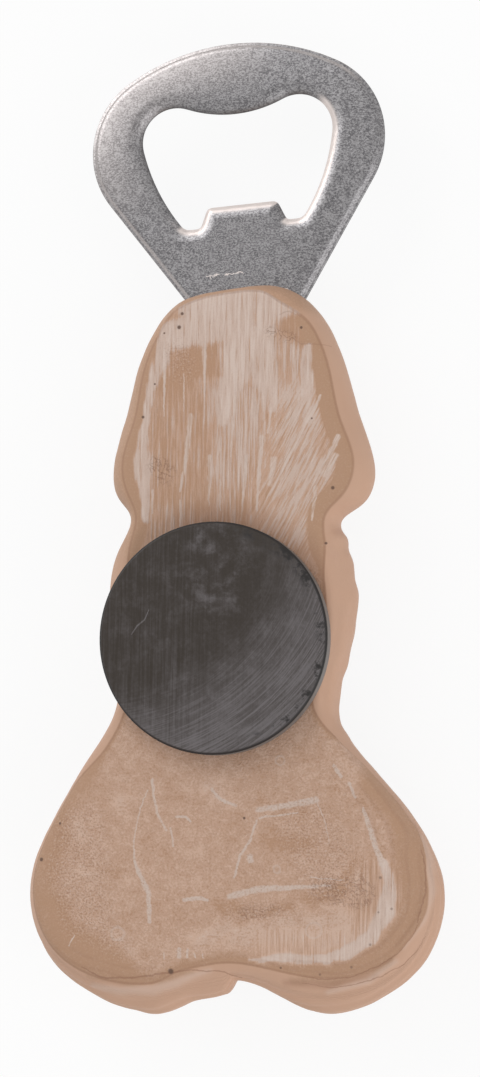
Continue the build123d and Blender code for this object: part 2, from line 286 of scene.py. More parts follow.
# Ridges are raised in the mesh and also lightened with a painted highlight.
RIDGES = (         # raised folds, also on the wall
    ((28.2, -26.6, 0.5), (29.6, -29.8, 0.8), (30.1, -34.1, 0.9), (29.0, -38.0, 0.8),
     (26.4, -41.6, 0.6)),
    ((25.4, -43.6, 0.5), (21.5, -46.4, 0.8), (16.0, -48.0, 0.6)),
    ((-17.2, -47.8, 0.6), (-13.1, -48.4, 1.0), (-8.4, -48.1, 1.1), (-5.3, -47.2, 1.0),
     (-3.0, -46.2, 0.8), (-0.4, -45.4, 0.5)),
)
RINGS = (          # x, y, radius of a small round mark and its line's width
    (-13.3, -40.6, 0.9, 0.35),
    (9.1, -16.6, 0.6, 0.3),
    (8.9, -31.4, 0.5, 0.3),
    (4.3, 42.8, 0.4, 0.25),
    (6.9, 42.5, 0.4, 0.3),
    (14.2, -39.6, 1.1, 0.3),
)
PLATE_DABS = (     # bright dabs on the steel above the resin
    ((-3.6, 51.0, 0.15), (-2.0, 51.4, 0.2)),
    ((-1.2, 51.3, 0.15), (1.4, 51.6, 0.2)),
    ((5.8, 49.4, 0.2), (7.1, 49.0, 0.25)),
    ((7.6, 49.4, 0.15), (8.3, 48.8, 0.2)),
)
MAGNET_SCRATCHES = (     # on the magnet's face
    ((-11.4, 0.4, 0.1), (-10.6, 1.6, 0.2), (-9.6, 2.4, 0.2), (-9.0, 3.8, 0.1)),
)
PINHOLES = (       # x, y and radius
    (-6.3, 43.3, 0.30), (11.0, 43.1, 0.22), (-11.2, 30.8, 0.22), (15.8, 20.9, 0.28),
    (-5.9, 45.2, 0.25), (-8.4, 42.5, 0.15), (-9.6, 35.4, 0.15), (12.7, 30.5, 0.15),
    (4.2, -24.5, 0.20), (23.3, -32.3, 0.22), (24.9, -36.5, 0.20), (23.1, -37.0, 0.16),
    (22.0, -41.4, 0.20), (19.4, -44.5, 0.22), (15.0, -45.6, 0.20), (9.6, -44.8, 0.18),
    (-5.8, -45.6, 0.42), (-24.5, -30.6, 0.30), (-21.9, -25.6, 0.20), (14.9, 13.3, 0.20),
)


# ---- Node wiring ----
class Wiring:
    """Adds nodes to one tree and links them."""
    shared = {}        # node groups by the function that builds them

    def __init__(self, tree):
        self.tree = tree

    def node(self, kind, **settings):
        added = self.tree.nodes.new(kind)
        for name, value in settings.items():
            setattr(added, name, value)
        return added

    def feed(self, socket, value):
        """Links an output to the socket, or sets the socket to a plain value."""
        if isinstance(value, bpy.types.NodeSocket):
            self.tree.links.new(value, socket)
        elif socket.type == "RGBA":
            socket.default_value = (*value[:3], 1)
        else:
            socket.default_value = value

    def fill(self, node, given):
        """Feeds the node's named or numbered inputs."""
        for name, value in given.items():
            self.feed(node.inputs[name], value)

    def fed(self, kind, given, output, **settings):
        """One output of a new node whose inputs are filled."""
        added = self.node(kind, **settings)
        self.fill(added, given)
        return added.outputs[output]

    def math(self, operation, *values):
        return self.fed("ShaderNodeMath", dict(enumerate(values)), 0, operation=operation)

    def times(self, first, second):
        return self.math("MULTIPLY", first, second)

    def weighted(self, value, weight, rest):
        """The value times its weight, plus the rest."""
        return self.math("MULTIPLY_ADD", value, weight, rest)

    def centred(self, value):
        """A value around 0.5 as a value around 0."""
        return self.math("SUBTRACT", value, 0.5)

    def vector(self, operation, *values):
        output = "Value" if operation in ("LENGTH", "DOT_PRODUCT") else "Vector"
        return self.fed("ShaderNodeVectorMath", dict(enumerate(values)), output,
                        operation=operation)

    def scaled(self, vector, factor):
        return self.fed("ShaderNodeVectorMath", {0: vector, "Scale": factor}, 0,
                        operation="SCALE")

    def flat(self, place):
        """The place without its height."""
        return self.vector("MULTIPLY", place, (1, 1, 0))

    def split(self, place):
        """The place's x, y and z."""
        added = self.node("ShaderNodeSeparateXYZ")
        self.feed(added.inputs[0], place)
        return added.outputs

    def fade(self, value, start, end, low=0.0, high=1.0):
        """Goes smoothly from low to high while the value goes from start to end."""
        return self.fed("ShaderNodeMapRange", {
            "Value": value, "From Min": start, "From Max": end, "To Min": low, "To Max": high,
        }, 0, interpolation_type="SMOOTHSTEP")

    def mix(self, factor, first, second):
        return self.fed("ShaderNodeMix", {0: factor, 6: first, 7: second}, 2, data_type="RGBA")

    def noise(self, place, scale, detail=2.0, roughness=0.5, distortion=0.0, colour=False):
        return self.fed("ShaderNodeTexNoise", {
            "Vector": place, "Scale": scale, "Detail": detail, "Roughness": roughness,
            "Distortion": distortion}, "Color" if colour else "Fac")

    def mapped(self, place, **given):
        """The place in the frame that a location, rotation and scale describe."""
        given = {name.capitalize(): value for name, value in given.items()}
        return self.fed("ShaderNodeMapping", {"Vector": place, **given}, 0,
                        vector_type="TEXTURE")

    def attribute(self, name):
        return self.node("ShaderNodeAttribute", attribute_name=name).outputs["Fac"]

    def group(self, build, **values):
        """Places the node group that a function builds, which is built at its first use."""
        if build not in self.shared:
            self.shared[build] = build()
        given = {name.replace("_", " ").capitalize(): value for name, value in values.items()}
        return self.fed("ShaderNodeGroup", given, 0, node_tree=self.shared[build])

    def most(self, values):
        """The largest of several masks, each joined to the others as soon as it is made."""
        values = iter(values)
        largest = next(values)
        for value in values:
            largest = self.math("MAXIMUM", largest, value)
        return largest


def new_group(name, numbers, vectors, output):
    """An empty node group with number and vector inputs and one value output."""
    tree = bpy.data.node_groups.new(name, "ShaderNodeTree")
    for labels, kind in ((vectors, "NodeSocketVector"), (numbers, "NodeSocketFloat")):
        for label in labels:
            tree.interface.new_socket(label, in_out="INPUT", socket_type=kind)
    tree.interface.new_socket(output, in_out="OUTPUT", socket_type="NodeSocketFloat")
    wiring = Wiring(tree)
    given = wiring.node("NodeGroupInput").outputs
    result = wiring.node("NodeGroupOutput").inputs[0]
    return tree, wiring, given, result


def scuff_group():
    """A smear from one place to another, with a width at each end."""
    tree, w, given, result = new_group(
        "Scuff", ("Start width", "End width"), ("Place", "Start", "End"), "Mask")
    run = w.vector("SUBTRACT", given["End"], given["Start"])
    offset = w.vector("SUBTRACT", given["Place"], given["Start"])
    along = w.math("DIVIDE", w.vector("DOT_PRODUCT", offset, run),
                   w.vector("DOT_PRODUCT", run, run))
    along = w.math("MINIMUM", w.math("MAXIMUM", along, 0), 1)
    aside = w.vector("LENGTH", w.vector("SUBTRACT", offset, w.scaled(run, along)))
    widening = w.math("SUBTRACT", given["End width"], given["Start width"])
    width = w.weighted(widening, along, given["Start width"])
    w.feed(result, w.fade(aside, w.times(width, 0.68), w.times(width, 0.3)))
    return tree


def ring_group():
    """A small drawn ring."""
    tree, w, given, result = new_group(
        "Ring", ("Radius", "Line width"), ("Place", "Middle"), "Mask")
    away = w.vector("LENGTH", w.vector("SUBTRACT", given["Place"], given["Middle"]))
    off_ring = w.math("ABSOLUTE", w.math("SUBTRACT", away, given["Radius"]))
    w.feed(result, w.fade(off_ring, w.times(given["Line width"], 0.7),
                          w.times(given["Line width"], 0.2)))
    return tree


def streaks_group():
    """Fine lines that all run one way, around 0.5: sanding, grinding and scratches."""
    tree, w, given, result = new_group(
        "Streaks", ("Turn", "Detail", "Roughness"), ("Place", "Stretch"), "Value")
    turn = w.fed("ShaderNodeCombineXYZ", {2: given["Turn"]}, 0)
    place = w.mapped(given["Place"], rotation=turn, scale=given["Stretch"])
    w.feed(result, w.noise(place, 1.0, given["Detail"], given["Roughness"]))
    return tree


def drawn(w, place, lines, level=0):
    """A mask of smears along lines of places (x, y, width), all at one level."""
    return w.most(
        w.group(scuff_group, place=place, start=(x0, y0, level), end=(x1, y1, level),
                start_width=width0, end_width=width1)
        for line in lines for (x0, y0, width0), (x1, y1, width1) in zip(line, line[1:]))


def wobbled(w, flat_place, scale, detail, reach):
    """The place pushed about a little, so that lines drawn on it aren't straight."""
    push = w.vector("SUBTRACT", w.noise(flat_place, scale, detail, colour=True), (0.5, 0.5, 0.5))
    return w.flat(w.vector("ADD", flat_place, w.scaled(push, reach)))


def new_material(name):
    """A material with its wiring, shader and the place in millimetres from the magnet."""
    material = bpy.data.materials.new(name)
    material.use_nodes = True
    wiring = Wiring(material.node_tree)
    shader = material.node_tree.nodes["Principled BSDF"]
    place = wiring.mapped(wiring.node("ShaderNodeTexCoord").outputs["Object"],
                          location=(MAGNET_MIDDLE.x, MAGNET_MIDDLE.y, BACK_HEIGHT),
                          scale=(MM, MM, MM))
    return material, wiring, shader, place


def bump(w, shader, height, millimetres):
    """Raises the surface by a height from 0 to 1 times so many millimetres."""
    given = {"Strength": 1, "Distance": millimetres * MM, "Height": height}
    w.feed(shader.inputs["Normal"], w.fed("ShaderNodeBump", given, 0))


# ---- Materials ----
class ResinPatterns:
    """The places and patterns that the parts of the resin's finish share."""

    def __init__(self, w, place):
        self.place = place
        self.x, self.y, self.z = w.split(place)
        self.flat_place = w.flat(place)
        self.uneven = wobbled(w, self.flat_place, scale=1.1, detail=3, reach=0.5)
        self.grain = w.noise(place, 3.2, detail=3, roughness=0.7)
        self.broad = w.noise(place, 0.2, detail=2)
        self.seam = w.attribute("seam")
        self.back = w.fade(self.seam, -0.2, 0.1)
        self.on_head = w.fade(self.y, 7, 13)
        self.streaks = self.sanding_streaks(w)
        self.band = w.attribute("band")
        self.worms = self.worm_lines(w)
        self.ripples = self.shoulder_ripples(w)

    def sanding_streaks(self, w):
        """Upright streaks, slanted at the lower right of the head."""
        upright, slanted = (
            w.group(streaks_group, place=self.place, turn=math.radians(turn), stretch=stretch,
                    detail=4, roughness=0.62)
            for turn, stretch in ((0, (0.3, 7.0, 1.0)), (-27, (0.34, 5.0, 1.0))))
        right = w.fade(w.weighted(self.y, -0.15, self.x), 0.0, 5.0)
        low = w.times(w.fade(self.y, 38, 31), self.on_head)
        return w.mix(w.times(right, low), upright, slanted)

    def worm_lines(self, w):
        """Fine wandering lines where the skin is wormed."""
        wander = w.noise(self.place, 1.5, detail=1, distortion=0.6)
        line = w.fade(w.math("ABSOLUTE", w.centred(wander)), 0.05, 0.0)
        return w.times(line, w.attribute("wormed"))

    def shoulder_ripples(self, w):
        """Thin folds that follow the rim on the rounded shoulder, from -1 to 1."""
        wander = w.noise(self.place, 0.12, detail=1)
        phase = w.weighted(wander, 9.0, w.times(self.seam, 4.2))
        return w.times(w.math("SINE", phase), w.attribute("folded"))


def resin_wear(w, p, look):
    """How far the skin is worn through: 0 is brown and low, 1 is sanded pale."""
    blotch = w.noise(p.place, 0.7, detail=4, roughness=0.7, distortion=0.4)
    mottle = w.weighted(w.centred(blotch), 0.9, w.times(w.centred(p.grain), 1.2))
    hatched = w.most((w.times(w.fade(p.x, 17, 21), w.fade(p.y, -28, -32)),
                      w.times(w.fade(p.x, 4, 9), w.fade(p.y, -38.5, -41))))
    hatched = w.times(hatched, w.fade(p.band, 0.5, 0.1))
    texture = w.mix(w.most((p.on_head, hatched)), w.times(mottle, look.grain),
                    w.times(w.centred(p.streaks), look.streaks))
    texture = w.times(texture, w.weighted(p.band, -0.8, 1.0))
    worn = w.weighted(w.centred(p.broad), 0.6, w.attribute("worn"))
    worn = w.math("ADD", texture, worn)
    return w.weighted(p.band, -0.4, worn)


def resin_smears(w, p):
    """Pale smears and rings drawn on the back, broken up by the grain or the streaks."""
    smear = drawn(w, p.uneven, SCUFFS)
    rings = w.most(
        w.group(ring_group, place=p.uneven, middle=(x, y, 0), radius=radius, line_width=width)
        for x, y, radius, width in RINGS)
    broken = w.mix(p.on_head, w.fade(p.grain, 0.36, 0.52), w.fade(p.streaks, 0.38, 0.56))
    smear = w.times(smear, w.weighted(broken, 0.6, 0.3))
    return w.weighted(rings, 0.4, smear)


def resin_back(w, p, look, worn):
    """Colour of the back: worn skin, the unsanded band and the marks on them, with the magnet's
    painted shadow and painted shade in the shoulder's folds.
    """
    pale = w.mix(w.most((p.on_head, w.fade(w.attribute("worn"), 0.6, 0.9))),
                 look.flecked, look.sanded)
    base = w.mix(w.fade(worn, 0.0, 0.4), look.brown, look.skin)
    base = w.mix(w.fade(worn, 0.45, 0.75), base, pale)
    base = w.mix(w.fade(worn, 0.9, 1.35), base, look.scuffs_and_highlight)
    base = w.mix(w.times(p.band, 0.55), base, look.olive)
    base = w.mix(resin_smears(w, p), base, look.scuffs_and_highlight)
    base = w.mix(w.times(p.worms, 0.55), base, look.shade_and_dark_marks)
    fine = w.noise(p.place, 3.8, detail=2, roughness=0.6)
    granular = w.attribute("granular")
    specks = w.times(w.fade(fine, 0.5, 0.36), w.weighted(granular, 0.36, 0.06))
    base = w.mix(specks, base, look.shade_and_dark_marks)
    flecks = w.times(w.fade(fine, 0.55, 0.68), w.weighted(granular, 0.4, 0.1))
    base = w.mix(flecks, base, look.scuffs_and_highlight)
    # Painted shadow of the magnet: the back is darkened in a ring round the magnet's upper right.
    magnet_shadow = w.fade(w.vector("LENGTH", p.flat_place), 20.5, 16.3)
    magnet_shadow = w.times(magnet_shadow, w.fade(w.math("ADD", p.x, p.y), 0, 14))
    base = w.mix(w.times(magnet_shadow, 0.4), base, look.shade_and_dark_marks)
    # Painted shade in the hollows of the shoulder's thin folds.
    return w.mix(w.fade(p.ripples, 0.2, 1.0, 0.0, 0.12), base, look.shade_and_dark_marks)


def resin_wall(w, p, look):
    """Colour of the side wall and the relief, with olive layers, painted shade in the hollows
    between folds and a painted highlight on the raised folds.
    """
    wall = w.mix(w.fade(p.broad, 0.35, 0.65, 0.0, 0.35), look.wall, look.skin)
    # Olive layers, together with the painted shade of the head's left wall.
    layers = w.times(w.attribute("layered"), w.fade(p.grain, 0.3, 0.6, 0.3, 0.8))
    wall = w.mix(layers, wall, look.olive)
    # Painted shade in the grooves, stronger towards the right.
    groove_shade = w.times(w.attribute("groove"), w.fade(p.x, 0, 12, 0.12, 0.3))
    wall = w.mix(groove_shade, wall, look.shade_and_dark_marks)
    # Painted highlight on the ridges, in the pale scuff colour.
    return w.mix(w.times(w.attribute("ridge"), 0.35), wall, look.scuffs_and_highlight)


def resin_pinholes(w, p):
    """Small holes in the back, painted dark as the shade inside them, fainter at the right of the
    lobes.
    """
    holes = w.most(
        w.fade(w.vector("LENGTH", w.vector("SUBTRACT", p.flat_place, (x, y, 0))),
               radius * 1.25, radius * 0.5)
        for x, y, radius in PINHOLES)
    holes = w.times(holes, w.fade(p.z, -1.8, -1.2))
    faint = w.times(w.fade(p.x, 8, 11), w.fade(p.y, 0, -10))
    return w.times(holes, w.weighted(faint, -0.4, 0.9))


def resin_material(look):
    """Cast resin, sanded flat on the back, with pale scuffs, pinholes and a smooth wall."""
    material, w, shader, place = new_material("Cast resin")
    p = ResinPatterns(w, place)
    worn = resin_wear(w, p, look)
    base = w.mix(p.back, resin_wall(w, p, look), resin_back(w, p, look, worn))
    edge_line = w.fade(w.math("ABSOLUTE", w.math("SUBTRACT", p.seam, 0.1)), 0.25, 0.05)
    base = w.mix(w.times(edge_line, w.fade(p.x, 16, 22, 0.3, 0.12)), base, look.shade_and_dark_marks)
    # Painted shade in the creases: fainter on the head, and only near the back.
    crease_shade = w.times(drawn(w, p.uneven, CREASE_SHADE_LINES), w.fade(p.y, 8, 14, 0.5, 0.25))
    base = w.mix(w.times(crease_shade, w.fade(p.z, -9, -5)), base, look.shade_and_dark_marks)
    # Pinholes painted dark as the shade inside them.
    base = w.mix(resin_pinholes(w, p), base, look.pinhole_shade)
    roughness = w.weighted(w.fade(worn, 0.3, 1.0), 0.15, look.roughness)
    w.fill(shader, {"Base Color": base, "Roughness": roughness, "Specular IOR Level": 0.35})

    height = w.times(w.fade(worn, -0.2, 1.2), w.times(p.back, 0.7))
    for pattern, part in ((p.grain, 0.25), (p.ripples, -0.15), (p.worms, -0.35)):
        height = w.weighted(pattern, part, height)
    bump(w, shader, height, 0.14)
    return material


def steel_material(look):
    """Tumbled steel: speckled grey with short scratches, with a painted highlight on the edges that
    face the upper left and painted shade on the sides that face the lower right.
    """
    material, w, shader, place = new_material("Tumbled steel")
    x, _, _ = w.split(place)
    speckle = w.noise(w.mapped(place, scale=(1.4, 1.0, 1.0)), 4.6, detail=2, roughness=0.85)
    patches = w.noise(place, 0.8, detail=3, roughness=0.6)
    tone = w.weighted(w.centred(patches), 0.25, speckle)
    low_place = w.vector("MULTIPLY", place, (1, 1, 0.3))
    scratches = w.most(
        w.fade(w.group(streaks_group, place=low_place, turn=math.radians(turn),
                       stretch=(0.12, 1.8, 1.0), detail=3, roughness=0.6), start, start + 0.1)
        for turn, start in ((24, 0.62), (-52, 0.6), (84, 0.63)))
    scratches = w.times(scratches, w.fade(x, 6, 18, 0.35, 1.0))
    base = w.mix(w.fade(tone, 0.39, 0.61), look.dull, look.steel)
    base = w.mix(w.times(scratches, 0.5), base, look.bright)

    # Painted highlight towards the upper left, along the rolled edges; painted shade on the sides
    # that face the lower right.
    facing = w.node("ShaderNodeNewGeometry").outputs["Normal"]
    upright = w.math("ABSOLUTE", w.vector("DOT_PRODUCT", facing, (0, 0, 1)))
    away = w.vector("DOT_PRODUCT", facing, (0.75, -0.66, 0))
    edge_highlight = w.times(w.fade(upright, 0.95, 0.8), w.fade(away, 0.15, -0.1))
    edge_highlight = w.times(edge_highlight, w.weighted(w.attribute("mouth"), 0.6, 0.3))
    # Painted highlight along the loop's outer edge at the upper left, broken by the speckle.
    polish = w.times(w.attribute("polish"), w.fade(tone, 0.1, 0.6, 0.6, 1.0))
    base = w.mix(w.most((edge_highlight, polish)), base, look.edge_highlight)
    # Painted shade on the steep sides that face the lower right.
    side = w.times(w.fade(upright, 0.85, 0.5), w.fade(away, 0.1, 0.4))
    base = w.mix(w.times(side, 0.85), base, look.cut)
    dabs = drawn(w, wobbled(w, w.flat(place), scale=2.4, detail=2, reach=0.9), PLATE_DABS)
    base = w.mix(w.times(dabs, 0.8), base, look.edge_highlight)

    roughness = w.weighted(tone, 0.2, look.roughness - 0.1)
    w.fill(shader, {"Base Color": base, "Metallic": 1, "Roughness": roughness})
    bump(w, shader, w.weighted(scratches, -0.4, tone), 0.012)
    return material


def grinding_arcs(w, place):
    """Fine arcs round a place at the upper left, and two masks that grow away from it."""
    offset = w.vector("SUBTRACT", place, (-16, 17, 0))
    x, y, _ = w.split(offset)
    swing = w.math("ARCTAN2", y, x)
    reach = w.vector("LENGTH", w.flat(offset))
    arc_place = w.fed("ShaderNodeCombineXYZ", {0: w.times(reach, 4.6), 1: w.times(swing, 4.0)}, 0)
    arcs = w.noise(arc_place, 1.0, detail=4, roughness=0.65)
    return arcs, w.fade(reach, 22, 34), w.fade(reach, 31, 37)


def ferrite_material(look):
    """Ground ferrite: upright lines at the left, curved scuffs at the right, a dark edge."""
    material, w, shader, place = new_material("Ground ferrite")
    x, y, z = w.split(place)
    cloudy = w.noise(place, 0.3, detail=6, roughness=0.7)
    gritty = w.noise(place, 2.2, detail=3, roughness=0.7)
    upright = w.group(streaks_group, place=place, turn=0, stretch=(0.3, 10.0, 1.0), detail=3,
                      roughness=0.6)
    arcs, outward, lowest = grinding_arcs(w, place)
    left = w.fade(x, 3.0, -6.0)
    middle = w.times(w.fade(w.math("ABSOLUTE", x), 8, 1), w.fade(y, -1, 7))
    worn = w.times(w.fade(cloudy, 0.42, 0.72), w.weighted(middle, 0.35, 0.25))
    worn = w.weighted(w.centred(gritty), 0.35, worn)
    worn = w.weighted(w.math("SUBTRACT", upright, 0.42), w.weighted(left, 0.55, 0.25), worn)
    worn = w.weighted(w.fade(arcs, 0.42, 0.68), w.weighted(lowest, 0.3, w.times(outward, 0.4)),
                      worn)
    worn = w.weighted(outward, 0.38, worn)
    scratch = drawn(w, place, MAGNET_SCRATCHES, level=(MAGNET_HIGH.z - BACK_HEIGHT) / MM)
    worn = w.weighted(scratch, 0.55, worn)

    base = w.mix(w.fade(worn, -0.1, 1.0), look.ferrite, look.worn)
    radius = w.vector("LENGTH", w.flat(place))
    outer = (MAGNET_HIGH.x - MAGNET_LOW.x) / 2 / MM
    chips = w.times(w.fade(cloudy, 0.5, 0.6), w.fade(radius, outer - 2.2, outer - 0.8))
    chips = w.times(chips, w.fade(x, 0, 6))
    edge = w.most((chips, w.fade(radius, outer - 0.4, outer - 0.15)))
    base = w.mix(edge, base, look.edge)
    base = w.mix(w.fade(z, 2.9, 2.4), base, look.side)
    w.fill(shader, {"Base Color": base, "Roughness": look.roughness,
                    "Specular IOR Level": 0.25})
    bump(w, shader, worn, 0.03)
    return material


def glue_material(look):
    """Dried glue, a little cloudy."""
    material, w, shader, place = new_material("Dried glue")
    tone = w.noise(place, 0.6, detail=3)
    darker = [level * 0.8 for level in look.glue]
    w.fill(shader, {"Base Color": w.mix(tone, look.glue, darker), "Roughness": 0.3})
    bump(w, shader, tone, 0.1)
    return material


# ---- Shapes ----
def merged_copy(node):
    """A CAD node's mesh as a bmesh with its doubled vertices merged."""
    bm = bmesh.new()
    bm.from_mesh(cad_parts[node].data)
    bmesh.ops.remove_doubles(bm, verts=bm.verts, dist=HAIR)
    return bm


def close_pocket(bm, plate):
    """Takes the plate's pocket out of the handle and closes the slit that it leaves."""
    tree = BVHTree.FromBMesh(plate)
    heights = [vert.co.z for vert in plate.verts]
    spare, reach = 0.1 * MM, 0.45 * MM
    low, high = min(heights) - spare, max(heights) + spare
    pocket = []
    for face in bm.faces:
        if all(low <= vert.co.z <= high for vert in face.verts):
            middle = face.calc_center_median()
            nearest, _, _, away = tree.find_nearest(middle)
            if away < reach and (nearest - middle).normalized().dot(face.normal) > 0.7:
                pocket.append(face)
    bmesh.ops.delete(bm, geom=pocket, context="FACES")
    slit = [edge for edge in bm.edges if edge.is_boundary]
    bmesh.ops.holes_fill(bm, edges=slit, sides=0)
    bmesh.ops.triangulate(bm, faces=[face for face in bm.faces if len(face.verts) > 4])


def finished_mesh(piece):
    """Applies the piece's modifiers to its mesh."""
    graph = bpy.context.evaluated_depsgraph_get()
    graph.update()
    mesh = bpy.data.meshes.new_from_object(piece.evaluated_get(graph))
    piece.modifiers.clear()
    old = piece.data
    piece.data = mesh
    bpy.data.meshes.remove(old)
    mesh.name = piece.name


def new_piece(name, bm):
    """A new object from a bmesh."""
    mesh = bpy.data.meshes.new(name)
    bm.to_mesh(mesh)
    bm.free()
    piece = bpy.data.objects.new(name, mesh)
    bpy.context.scene.collection.objects.link(piece)
    return piece


def even_faces(piece, face_size):
    """Remeshes a closed piece with even faces."""
    modifier = piece.modifiers.new("Even faces", "REMESH")
    modifier.mode = "VOXEL"
    modifier.voxel_size = face_size
    finished_mesh(piece)


def smoothed(piece, rounds, chosen=None):
    """Smooths the piece's vertices, or the chosen ones."""
    modifier = piece.modifiers.new("Smooth", "SMOOTH")
    modifier.factor = 0.5
    modifier.iterations = rounds
    if chosen is not None:
        picked = piece.vertex_groups.new(name="smooth")
        picked.add([int(i) for i in np.flatnonzero(chosen)], 1.0, "REPLACE")
        modifier.vertex_group = picked.name
    finished_mesh(piece)
    piece.vertex_groups.clear()


def finish_piece(piece, material, node):
    """Gives a piece its finish and its place in the frame."""
    piece.data.materials.clear()
    piece.data.materials.append(material)
    piece.data.polygons.foreach_set("use_smooth", [True] * len(piece.data.polygons))
    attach(piece, "root")
    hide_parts(node)


def vertex_places(mesh):
    """The vertices' places and normals as arrays, in metres."""
    places = np.empty(len(mesh.vertices) * 3, np.float32)
    mesh.vertices.foreach_get("co", places)
    normals = np.empty(len(mesh.vertices) * 3, np.float32)
    mesh.vertex_normals.foreach_get("vector", normals)
    return places.reshape(-1, 3).astype(float), normals.reshape(-1, 3).astype(float)


def move_vertices(mesh, places):
    """Puts the vertices at the places."""
    mesh.vertices.foreach_set("co", places.astype(np.float32).ravel())
    mesh.update()


def set_attributes(mesh, **masks):
    """Stores the masks' values, one for each vertex."""
    for name, values in masks.items():
        attribute = mesh.attributes.new(name, "FLOAT", "POINT")
        attribute.data.foreach_set("value", values.astype(np.float32))


def fade(values, start, end):
    """Goes smoothly from 0 to 1 while the values go from start to end."""
    t = np.clip((values - start) / (np.asarray(end) - start), 0, 1)
    return t * t * (3 - 2 * t)


def hump(values, middle, breadth):
    """1 at the middle, falling to 0 on both sides in a bell."""
    return np.exp(-((values - middle) / breadth) ** 2)


def clouds(places, wavelength, seed):
    """Smooth noise from about -1 to 1."""
    shift = Vector((seed * 17.3, seed * 5.1, seed * 3.7))
    return np.array([noise.noise(Vector(p) / wavelength + shift) for p in places])


def rim_distances(bm, height, places, outer_only=False):
    """Distance of each place from the edge of the face at that height, seen from above."""
    flat = {face for face in bm.faces if lies_flat(face, height)}
    edges = [edge for edge in bm.edges
             if len(edge.link_faces) == 2 and sum(f in flat for f in edge.link_faces) == 1]
    if outer_only:
        edges = outer_loop(edges)
    points, spacing = [], 0.1 * MM
    for edge in edges:
        start, end = (vert.co for vert in edge.verts)
        steps = max(1, math.ceil((end - start).length / spacing))
        points += [start.lerp(end, i / steps) for i in range(steps)]
    tree = KDTree(len(points))
    for i, point in enumerate(points):
        tree.insert((point.x, point.y, 0), i)
    tree.balance()
    return np.array([tree.find((x, y, 0))[2] for x, y in places[:, :2]])


def lies_flat(face, height):
    """Whether the face looks up and lies at that height."""
    return face.normal.z > 0.999 and all(abs(vert.co.z - height) < HAIR for vert in face.verts)


def within_face(bm, height, places):
    """Whether each place lies over the flat face at that height, seen from above."""
    face_only = bm.copy()
    others = [face for face in face_only.faces if not lies_flat(face, height)]
    bmesh.ops.delete(face_only, geom=others, context="FACES")
    tree = BVHTree.FromBMesh(face_only)
    face_only.free()
    down = Vector((0, 0, -1))
    return np.array([tree.ray_cast(Vector((x, y, height + MM)), down)[0] is not None
                     for x, y in places[:, :2]])


def outer_loop(edges):
    """Of several closed loops of edges, the one that reaches furthest."""
    waiting = set(edges)
    best, best_reach = [], -math.inf
    while waiting:
        edge = waiting.pop()
        loop, front = [edge], [edge]
        while front:
            for vert in front.pop().verts:
                for other in vert.link_edges:
                    if other in waiting:
                        waiting.remove(other)
                        loop.append(other)
                        front.append(other)
        reach = max(vert.co.y for edge in loop for vert in edge.verts)
        if reach > best_reach:
            best, best_reach = loop, reach
    return best


def painted(places, lines, soft=None):
    """1 on broad lines of places (x, y, width), falling to 0 over a soft border.

    Without a border of its own, a line gets one that grows with its width.
    """
    result = np.zeros(len(places))
    for line in lines:
        for (x0, y0, width0), (x1, y1, width1) in zip(line, line[1:]):
            start, run = np.array((x0, y0)), np.array((x1 - x0, y1 - y0))
            offset = places - start
            along = np.clip(offset @ run / (run @ run), 0, 1)
            aside = np.linalg.norm(offset - along[:, None] * run, axis=1)
            half = (width0 + (width1 - width0) * along) / 2
            border = half * 0.4 if soft is None else soft / 2
            result = np.maximum(result, fade(aside, half + border, half - border))
    return result


class CastingPlaces:
    """Where each vertex of the handle lay before it was shaped, in millimetres.

    x and y count from the magnet's centre, depth from the flat back downwards, and rim from
    the edge of the back inwards.
    """

    def __init__(self, places, normals, rim_source):
        self.x = (places[:, 0] - MAGNET_MIDDLE.x) / MM
        self.y = (places[:, 1] - MAGNET_MIDDLE.y) / MM
        self.depth = (BACK_HEIGHT - places[:, 2]) / MM
        rim = rim_distances(rim_source, BACK_HEIGHT, places) / MM
        self.rim = np.where(within_face(rim_source, BACK_HEIGHT, places), rim, -rim)
        self.flat = (places[:, 2] > BACK_HEIGHT - FLAT_DEPTH) & (normals[:, 2] > 0.5)
        self.on_lobes = fade(self.y, -15, -21)
        self.on_head = fade(self.y, 8, 14)
        self.to_right = fade(self.x, 6, 15)
        self.to_sole = fade(self.y, -40, -44)


def shoulder_drop(at, look):
    """How far the lobes' rim falls away: broad at the right, narrower at the sole."""
    sole_only = at.to_sole * (1 - at.to_right)
    breadth = 1.6 + 3.2 * at.to_right + 1.4 * sole_only
    share_in = np.clip(1 - at.rim / breadth, 0, 1) ** 2 * (at.rim > 0)
    share_out = (at.rim <= 0) * fade(at.depth, 5.0, 0.5)
    strength = 0.35 + 0.65 * at.to_right + 0.3 * sole_only
    return look.shoulder * strength * at.on_lobes * (share_in + share_out)


def wall_push(at, places, sides):
    """How far the side wall stands out, in millimetres: slow unevenness, folds and lumps."""
    folded = fade(at.y, -26, -36) * (0.35 + 0.65 * fade(at.x, -24, -14))
    slow = clouds(places, 7 * MM, 1)
    quick = clouds(places, 2.4 * MM, 2)
    layers = np.sin(2 * math.pi * (at.depth + 0.09 * at.x + 0.8 * slow) / 1.7)
    at_right = at.x > 8
    beside_magnet = fade(at.y, -16, -11) * fade(at.y, 15, 11)
    push = 0.10 * slow + 0.05 * quick + 0.13 * layers * folded * fade(at.depth, 6.5, 4.0)
    push += at_right * (0.35 * hump(at.y, -4, 4.5) + 0.45 * hump(at.y, 14.2, 1.1))
    push += 0.3 * clouds(places, 2.8 * MM, 6) * at_right * beside_magnet
    return push * sides


def sole_flash(at, sides):
    """How far a step of flash stands out of the sole beside the cleft, in millimetres."""
    flash = 0.5 * fade(at.x, -12, -8) + 1.25 * fade(at.x, -4.5, 0.2)
    return flash * fade(at.x, 2.5, 1.1) * fade(at.y, -42, -46) * sides


